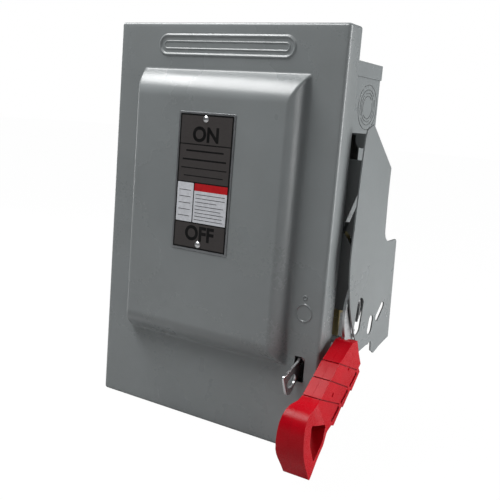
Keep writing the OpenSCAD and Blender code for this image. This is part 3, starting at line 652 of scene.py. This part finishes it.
# Width of the rounding on each node's edges, where it differs from the usual; round wire gets none
USUAL_BEVEL_MM = 0.25
BEVEL_MM = {
    "wrapper": 0.16, "top_endwall": 0.16, "bottom_endwall": 0.16, "grip_inner": 0.14, "grip_outer": 0.14,
    "side_plate": 0.3, "switch_base": 0.4, "nameplate_rivets": 0.1, "torsion_spring": 0.0,
    "hasp_spring": 0.0, "padlock_hasp": 0.45, "hinge_leaves_fixed": 0.2, "hinge_leaves_moving": 0.2,
}


def finished(node):
    """A merged copy of a CAD node with flat faces made whole and every hard edge rounded a little."""
    mesh = frame["nodes"][node].data.copy()
    bm = bmesh.new()
    bm.from_mesh(mesh)
    bmesh.ops.remove_doubles(bm, verts=bm.verts, dist=1e-6)
    bmesh.ops.dissolve_limit(bm, angle_limit=math.radians(FLAT_DEG), verts=bm.verts, edges=bm.edges)
    bm.to_mesh(mesh)
    bm.free()
    piece = to_object(node + "_finished", mesh, MATERIALS[SLOT_OF[node]])
    width = BEVEL_MM.get(node, USUAL_BEVEL_MM)
    if width:
        edge = piece.modifiers.new("edge", "BEVEL")
        edge.width, edge.segments, edge.limit_method = width * MM, 2, "ANGLE"
        edge.angle_limit, edge.use_clamp_overlap = math.radians(EDGE_DEG), False
    piece.data.shade_smooth()
    piece.modifiers.new("even_shading", "WEIGHTED_NORMAL").weight = 100
    return attach(baked(piece, None), BODY_OF[node], SLOT_OF[node], node)


for node in sorted(BODY_OF):
    if node not in ("door_panel", "nameplate"):
        finished(node)


# ---------------------------------------------------------------- floor, light and camera

FLOOR_GAP, FLOOR_HALF = 0.0005, 12.0
FLOOR_SEEN_SHARE, FLOOR_SEEN_LIGHT = 0.97, 1.02
FLOOR_TONE = (0.45, 0.45, 0.45, 1.0)
WORLD_LIGHT = 0.11


def make_floor():
    """A wide pale floor just under the object: nearly plain white to the camera, a grey one to light."""
    mesh = bpy.data.meshes.new("floor")
    level, wide = cad_box[0].z - FLOOR_GAP, FLOOR_HALF
    mesh.from_pydata([(-wide, -wide, level), (wide, -wide, level), (wide, wide, level), (-wide, wide, level)],
                     [], [(0, 1, 2, 3)])
    material = bpy.data.materials.new("floor")
    material.use_nodes = True
    shader = material.node_tree.nodes["Principled BSDF"]
    shader.inputs["Base Color"].default_value = FLOOR_TONE
    shader.inputs["Roughness"].default_value = 0.9
    shader.inputs["Specular IOR Level"].default_value = 0.1
    w = Wires(material.node_tree)
    white = w.add("ShaderNodeEmission", Color=(1, 1, 1, 1), Strength=FLOOR_SEEN_LIGHT)
    seen = w.add("ShaderNodeLightPath").outputs["Is Camera Ray"]
    mix = w.add("ShaderNodeMixShader")
    w.set(mix.inputs[0], w.math("MULTIPLY", seen, FLOOR_SEEN_SHARE))
    w.set(mix.inputs[1], shader.outputs[0])
    w.set(mix.inputs[2], white.outputs[0])
    w.set(material.node_tree.nodes["Material Output"].inputs["Surface"], mix.outputs[0])
    to_object("floor", mesh, material)


def make_world():
    """White behind the object, and a faint cool light from all round on it."""
    world = bpy.data.worlds.new("studio")
    bpy.context.scene.world = world
    world.use_nodes = True
    w = Wires(world.node_tree)
    seen = world.node_tree.nodes["Background"]
    seen.inputs["Color"].default_value = (1, 1, 1, 1)
    seen.inputs["Strength"].default_value = 1.0
    lit = w.add("ShaderNodeBackground", Color=(0.9, 0.95, 1.0, 1.0), Strength=WORLD_LIGHT)
    path = w.add("ShaderNodeLightPath")
    mix = w.add("ShaderNodeMixShader")
    w.set(mix.inputs[0], path.outputs["Is Camera Ray"])
    w.set(mix.inputs[1], lit.outputs[0])
    w.set(mix.inputs[2], seen.outputs[0])
    w.set(world.node_tree.nodes["World Output"].inputs["Surface"], mix.outputs[0])


def softbox(name, place, target, width, height, power):
    """A white area light at place, facing target; metres and watts."""
    light = bpy.data.lights.new(name, "AREA")
    light.shape, light.size, light.size_y, light.energy = "RECTANGLE", width, height, power
    holder = bpy.data.objects.new(name, light)
    holder.location = place
    holder.rotation_euler = (Vector(target) - Vector(place)).to_track_quat("-Z", "Y").to_euler()
    bpy.context.scene.collection.objects.link(holder)


make_floor()
make_world()
softbox("top_box", (-0.55, -0.46, 1.1), (0.0, -0.1, 0.14), 1.2, 0.5, 24.0)
softbox("right_box", (1.35, 0.5, 0.3), (0.1, -0.05, 0.0), 0.9, 1.2, 28.0)
softbox("left_rim_box", (-1.4, 0.45, 0.15), (-0.1, -0.1, 0.0), 0.5, 1.2, 6.0)
softbox("front_box", (0.25, -0.75, 0.75), (0.0, -0.13, 0.28), 0.6, 0.3, 1.2)

# The camera's turn and place in one matrix, in metres, and its lens in millimetres
camera = bpy.data.objects.new("camera", bpy.data.cameras.new("camera"))
bpy.context.scene.collection.objects.link(camera)
camera.matrix_world = Matrix((
    (0.84043, -0.15565, 0.51909, 0.4079),
    (0.53607, 0.09827, -0.83843, -0.7177),
    (0.07949, 0.98292, 0.16602, 0.1030),
    (0.0, 0.0, 0.0, 1.0)))
camera.data.lens = 54.73
camera.data.sensor_width = 36.0
camera.data.clip_start = 0.02
bpy.context.scene.camera = camera
bpy.context.scene.view_settings.view_transform = "Standard"
